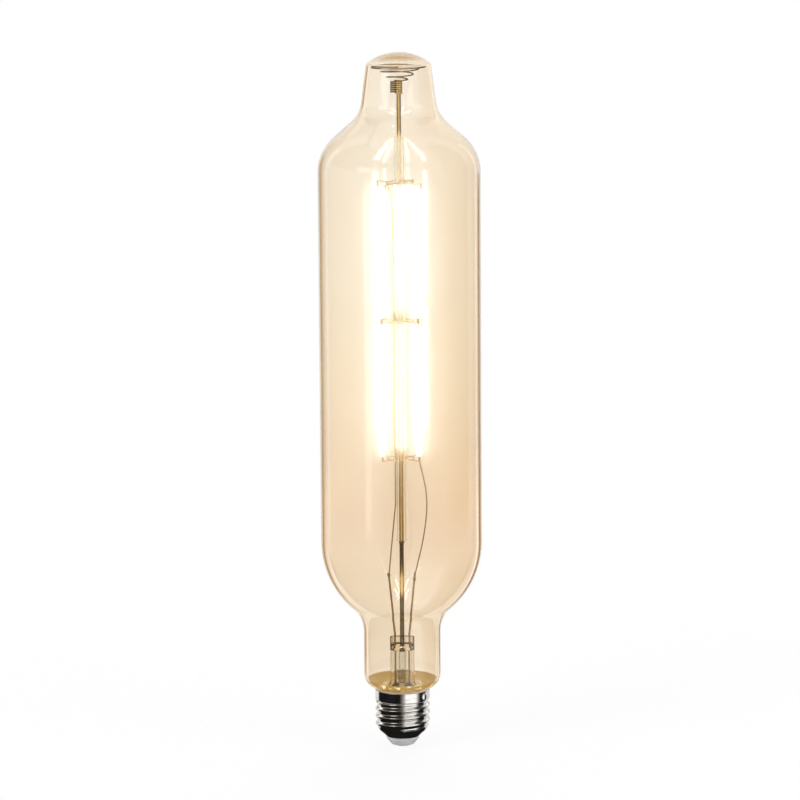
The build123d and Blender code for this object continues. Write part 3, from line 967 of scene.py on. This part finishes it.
def threadRadius(level, turn):
    phase = tau * (level - cap["start"]) / cap["pitch"] - turn
    ridge = 0.5 + 0.5 * cos(phase)
    low, high, blend = cap["bottom"], cap["top"], cap["skirtBlend"] / 2
    window = smoothStep(low, low + cap["fade"], level)
    window *= 1 - smoothStep(high - cap["fade"], high, level)
    return capRoot + cap["depth"] * max(ridge * window, smoothStep(high - blend, high + blend, level))


def capShell():
    lowest = cap["bottom"] - cap["lead"]
    corners = [
        (cap["footEdge"], capLow.z), (cap["foot"], capLow.z, cap["footBlend"]),
        (capRoot, lowest, cap["shoulderBlend"]), (capRoot, lowest + 2 * mm),
    ]
    under = rounded(corners, step=radians(6))[:-1]
    # rows of radius, level and inset, where no radius stands for the thread's
    rows = [(p.x, p.y, 0) for p in under]
    rimLevel, half = capHigh.z - cap["rim"], cap["sheet"] / 2
    level = lowest + cap["lead"] / 2
    while level < rimLevel:
        if level > under[-1].y:
            rows.append((None, level, 0))
        level += cap["pitch"] / cap["rowsPerPitch"]
    inside = [(radius, level, cap["sheet"]) for radius, level, _ in reversed(rows)]
    for k in range(cap["rimSteps"]):
        turn = pi * k / cap["rimSteps"]
        radius = cap["thread"] - half + half * cos(turn)
        rows.append((radius, rimLevel + cap["rim"] * sin(turn), 0))
    rings = []
    for radius, level, inset in rows + inside:
        ring = []
        for s in range(cap["steps"]):
            turn = tau * s / cap["steps"]
            reach = threadRadius(level, turn) if radius is None else radius
            if inset:
                reach = max(reach - inset, cap["footEdge"])
            ring.append(onCircle(reach, turn, level))
        rings.append(ring)
    return skin("capShell", rings, sharp=60)


shell = capShell()
dress(shell, "nickel", "cap_nickel", "cap_shell")
print("cap shell:", len(shell.data.polygons), "faces")


# insulator, contact and solder

coneLow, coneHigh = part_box("cap_insulator")
contactLow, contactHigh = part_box("centre_contact")
foot = sizes(tip=5.4, lip=7.9, cone=3.0, lipHeight=1.1, neck=7.0, blend=0.5, edge=0.3)
lipLow = coneLow.z + foot["cone"]
lipHigh = lipLow + foot["lipHeight"]
corners = [
    (0, coneLow.z), (foot["tip"], coneLow.z, foot["blend"]), (foot["lip"], lipLow, foot["blend"]),
    (foot["lip"], lipHigh, foot["edge"]), (foot["neck"], lipHigh), (foot["neck"], coneHigh.z),
    (0, coneHigh.z),
]
dress(lathe("capInsulator", rounded(corners)), "insulator", "insulator", "cap_insulator")
corners = [
    (0, contactLow.z), (contactHigh.x, contactLow.z, foot["edge"]), (contactHigh.x, contactHigh.z),
    (0, contactHigh.z),
]
dress(lathe("centreContact", rounded(corners), steps=64), "contact", "contact_brass", "centre_contact")

drop = dict(uneven=0.13, rings=14, steps=36)


def solderDrop(name, centre, outward, radius, rise, seed):
    # a flattened dome with an uneven edge, on the plane through centre
    side = outward.orthogonal().normalized()
    up = outward.cross(side)
    rings, steps = drop["rings"], drop["steps"]
    vertices = [centre + outward * rise]
    for k in range(1, rings + 1):
        share = k / rings
        height = rise * sqrt(max(0, 1 - share**2))
        for s in range(steps):
            turn = tau * s / steps
            x, y = cos(turn), sin(turn)
            flat = radius * share * (1 + drop["uneven"] * noise(Vector((2 * x, 2 * y, seed))))
            vertices.append(centre + side * flat * x + up * flat * y + outward * height)
    faces = [(0, 1 + s, 1 + (s + 1) % steps) for s in range(steps)]
    for k in range(rings - 1):
        a, b = 1 + k * steps, 1 + (k + 1) * steps
        for s in range(steps):
            n = (s + 1) % steps
            faces.append((a + s, b + s, b + n, a + n))
    last = 1 + (rings - 1) * steps
    faces.append(tuple(reversed(range(last, last + steps))))
    return finishMesh(name, vertices, faces, sharp=70)


solderLow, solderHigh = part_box("side_solder")
spot = dict(azimuth=radians(-36), seed=3.0, **sizes(radius=2.1, sink=0.35, rise=0.85))
spotOut = onCircle(1, spot["azimuth"], 0)
spotLevel = Vector((0, 0, (solderLow.z + solderHigh.z) / 2))
spotCentre = spotOut * (cap["thread"] - spot["sink"]) + spotLevel
spotRise = spot["sink"] + spot["rise"]
sideSolder = solderDrop("sideSolder", spotCentre, spotOut, spot["radius"], spotRise, spot["seed"])
dress(sideSolder, "solder", "solder", "side_solder")
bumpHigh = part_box("contact_solder")[1]
tip = dict(share=0.87, seed=8.0)
tipCentre, down = Vector((0, 0, bumpHigh.z)), Vector((0, 0, -1))
tipRadius = bumpHigh.x * tip["share"]
contactSolder = solderDrop("contactSolder", tipCentre, down, tipRadius, bumpHigh.z, tip["seed"])
dress(contactSolder, "solder", "solder", "contact_solder")


# basing cement, squeezed out under the glass

cementLow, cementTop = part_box("basing_cement")
bead = dict(
    **sizes(
        sag=0.12, ledge=6.2, ledgeHeight=4.57, ledgeBlend=0.4, clear=0.02, boreClear=0.05, topClear=0.03,
        brim=5.0, plug=5.2, edge=0.15, gritRise=0.1,
    ),
    gritScale=400, steps=120,
)


def cementRing():
    plug, brim = cap["bore"] - bead["boreClear"], cementTop.x - bead["clear"]
    collar, top = glass["collar"] + bead["clear"], cementTop.z - bead["topClear"]
    ledge, ledgeTop = bead["ledge"], cementLow.z + bead["ledgeHeight"]
    corners = [
        (ledge, cementLow.z), (plug, cementLow.z), (plug, capHigh.z - bead["plug"]),
        (brim, capHigh.z - bead["brim"]), (brim, capHigh.z),
        (cementTop.x - bead["edge"], top, bead["edge"]), (collar, top), (collar, ledgeTop),
        (ledge, ledgeTop, bead["ledgeBlend"]), (ledge, cementLow.z + bead["ledgeHeight"] / 2),
    ]
    ring = lathe("basingCement", rounded(corners, step=radians(12)), bead["steps"])
    for vertex in ring.data.vertices:
        if vertex.co.z > capHigh.z + bead["gritRise"] and vertex.co.xy.length > glass["collar"] + mm:
            grit = noise(vertex.co * bead["gritScale"])
            vertex.co.xy *= 1 - bead["sag"] * (0.5 + 0.5 * grit) / vertex.co.xy.length
    return ring


dress(cementRing(), "cement", "cement", "basing_cement")

for node, finish in (
    ("driver_board", "board"), ("smoothing_capacitor", "can"), ("bridge_rectifier", "chip"),
    ("driver_chip", "chip"), ("fuse_resistor", "resistor"), ("contact_wire", "contact"),
    ("shell_wire", "contact"),
):
    slots = nodes[node].data.materials
    slots.clear()
    slots.append(finishes[finish])
print("cap done")


# stage, light and camera

white = (1, 1, 1, 1)
studio = dict(
    world=0.6, floorSize=6.0, floorColour=(0.9, 0.9, 0.9, 1), floorShow=0.88,
    floorFade=(0.05, 0.45), aim=Vector((0, 0, 0.15)), key=(Vector((-1.3, -1.1, 1.4)), 0.9, 16.0),
    fill=(Vector((1.4, -0.9, 1.0)), 1.1, 9.0), back=(Vector((0.2, 1.4, 1.7)), 1.2, 12.0),
)


def seenDirectly(tree):
    # 1 for what the eye, a reflection or the glass sees
    path = addNode(tree, "ShaderNodeLightPath").outputs
    seen = plus(plus(path["Is Camera Ray"], path["Is Glossy Ray"]), path["Is Transmission Ray"])
    return math2("MINIMUM", seen, 1.0)


def paleFloor():
    half = studio["floorSize"] / 2
    corners = [(-half, -half, 0), (half, -half, 0), (half, half, 0), (-half, half, 0)]
    floor = finishMesh("floor", corners, [(0, 1, 2, 3)])
    material, tree = blankMaterial("paleFloor")
    matt = shade(tree, "BsdfDiffuse", {"Color": studio["floorColour"]})
    light = shade(tree, "Emission", {"Color": white, "Strength": 1.0})
    # the floor fades into the white behind it, and keeps the shadow near the cap
    away = shade(tree, "VectorMath", {0: objectPlace(tree)}, "Value", operation="LENGTH")
    fade = between(away, studio["floorFade"], (studio["floorShow"], 1.0))
    share = times(seenDirectly(tree), fade)
    mixTo("ShaderNodeOutputMaterial", share, matt, light)
    floor.data.materials.append(material)


def whiteWorld():
    world = bpy.data.worlds.new("studioWhite")
    scene.world = world
    tree = emptyTree(world)
    shown = shade(tree, "Background", {"Color": white, "Strength": 1.0})
    soft = shade(tree, "Background", {"Color": white, "Strength": studio["world"]})
    mixTo("ShaderNodeOutputWorld", seenDirectly(tree), soft, shown)


def softLamp(name, place, size, power):
    light = bpy.data.lights.new(name, "AREA")
    light.shape = "SQUARE"
    light.size = size
    light.energy = power
    placed = addPiece(name, light)
    placed.location = place
    placed.rotation_euler = (studio["aim"] - place).to_track_quat("-Z", "Y").to_euler()
    for ray in ("camera", "glossy", "transmission"):
        setattr(placed, "visible_" + ray, False)


# cards for the reflections: azimuths from the camera, softness of both ends, profile of radius,
# height and cover, colour; flags are seen through the glass too
onFloor = 0.3 * mm
underFloor = onFloor / 2
dark, dim, warm = (0.015,) * 3, (0.08,) * 3, (0.5, 0.33, 0.12)
outward = ((0.05, onFloor, 0), (0.2, onFloor, 1), (1.0, onFloor, 1))
around = (*outward, (1.0, 0.9, 1))
upper = (*outward, (1.0, 0.3, 1), (1.0, 0.42, 0.45), (1.0, 0.9, 0.45))
lower = (*outward, (1.0, 0.15, 1), (1.0, 0.19, 0))
close = ((0.03, onFloor, 1), (0.05, onFloor, 1), (0.05, 0.026, 1))
streak = ((0.5, onFloor, 0), (0.6, onFloor, 1), (1.0, onFloor, 1), (1.0, 0.17, 1), (1.0, 0.2, 0))
ahead = ((0.125, onFloor, 0), (0.15, onFloor, 1), (1.0, onFloor, 1), (1.0, 0.27, 1), (1.0, 0.32, 0))
below = (
    (0.03, underFloor, 0), (0.05, underFloor, 1), (0.13, underFloor, 1), (0.13, 0.03, 1), (0.13, 0.1, 0),
)
beside = ((0.02, onFloor, 1), (0.12, onFloor, 1), (0.12, 0.025, 1), (0.12, 0.09, 0))
underFoot = ((0.004, onFloor, 1), (0.03, onFloor, 1))
highHood = ((0.85, 0.45, 1), (0.75, 0.75, 1), (0.35, 1.0, 1))
lowHood = ((0.85, 0.33, 1), (0.8, 0.6, 1), (0.35, 1.0, 1))
wall = ((0.25, 0.055, 0), (0.25, 0.08, 1), (0.25, 0.36, 1))
tallWindow = ((0.8, 0.43, 0), (0.8, 0.442, 1), (0.8, 0.62, 1), (0.8, 0.7, 0))
slitWindow = ((0.8, 0.434, 0), (0.8, 0.44, 1), (0.8, 0.456, 1), (0.8, 0.462, 0))
cards = dict(
    footShade=((-118, 116), (6, 8), underFoot, dark),
    leftShade=((-118, 14), (6, 24), beside, dark),
    rightShade=((56, 112), (18, 6), beside, dark),
    leftHood=((-118, 10), (6, 20), highHood, (0.05, 0.035, 0.02)),
    rightHood=((62, 114), (20, 6), lowHood, (0.12,) * 3),
    rightWall=((58, 108), (22, 6), wall, dim),
    capGlow=((4, 68), (10, 14), below, (1.7,) * 3),
    frontShade=((-34, 34), (22, 22), ahead, dark),
    frontStreak=((-53, -39), (4, 4), streak, (3.2,) * 3),
    leftStrip=((-132, -116), (5, 6), around, (1.8,) * 3),
    rightStrip=((131, 141), (3, 3), around, (2.0,) * 3),
    leftFlag=((-156, -134), (3, 12), upper, warm),
    rightFlag=((142, 157), (4, 3), lower, (0.36, 0.2, 0.05)),
    leftGuard=((-164, -122), (4, 4), close, (1.0,) * 3),
    rightGuard=((122, 164), (4, 4), close, (1.0,) * 3),
    leftWindow=((-66, -26), (8, 14), tallWindow, (3.4,) * 3),
    rightWindow=((22, 50), (8, 6), slitWindow, (3.0,) * 3),
)


def reflectedCard(name, azimuths, soft, profile, colour):
    start, end = azimuths
    steps = max(8, round((end - start) / 2))
    vertices, fade = [], []
    for k in range(steps + 1):
        azimuth = start + (end - start) * k / steps
        for radius, level, cover in profile:
            vertices.append(onCircle(radius, radians(azimuth - 90), level))
            fade.append(cover * min(1, (azimuth - start) / soft[0], (end - azimuth) / soft[1]))
    rows = len(profile)
    starts = [k * rows + r for k in range(steps) for r in range(rows - 1)]
    card = finishMesh(name, vertices, [(a, a + 1, a + rows + 1, a + rows) for a in starts])
    card.data.attributes.new("fade", "FLOAT", "POINT").data.foreach_set("value", fade)
    material, tree = blankMaterial(name)
    shine = shade(tree, "Emission", {"Color": (*colour, 1), "Strength": 1.0})
    share = shade(tree, "Attribute", socket="Fac", attribute_name="fade")
    mixTo("ShaderNodeOutputMaterial", share, shade(tree, "BsdfTransparent"), shine)
    card.data.materials.append(material)
    for ray in ("camera", "diffuse", "shadow"):
        setattr(card, "visible_" + ray, False)
    card.visible_transmission = name.endswith("Flag")


view = dict(
    distance=2.0, eye=0.5, side=-0.0003, lens=192.7, sensor=36, far=50,
    pitch=radians(9.434), roll=radians(-0.38),
)


def photoCamera():
    data = bpy.data.cameras.new("photoCamera")
    data.lens = view["lens"]
    data.sensor_width = view["sensor"]
    data.clip_end = view["far"]
    camera = addPiece("photoCamera", data)
    look = Matrix.Rotation(pi / 2 - view["pitch"], 4, "X") @ Matrix.Rotation(view["roll"], 4, "Z")
    camera.matrix_world = Matrix.Translation((view["side"], -view["distance"], view["eye"])) @ look
    scene.camera = camera


paleFloor()
whiteWorld()
for name in ("key", "fill", "back"):
    softLamp(name + "Light", *studio[name])
for name, card in cards.items():
    reflectedCard(name, *card)
photoCamera()
scene.view_settings.view_transform = "Standard"
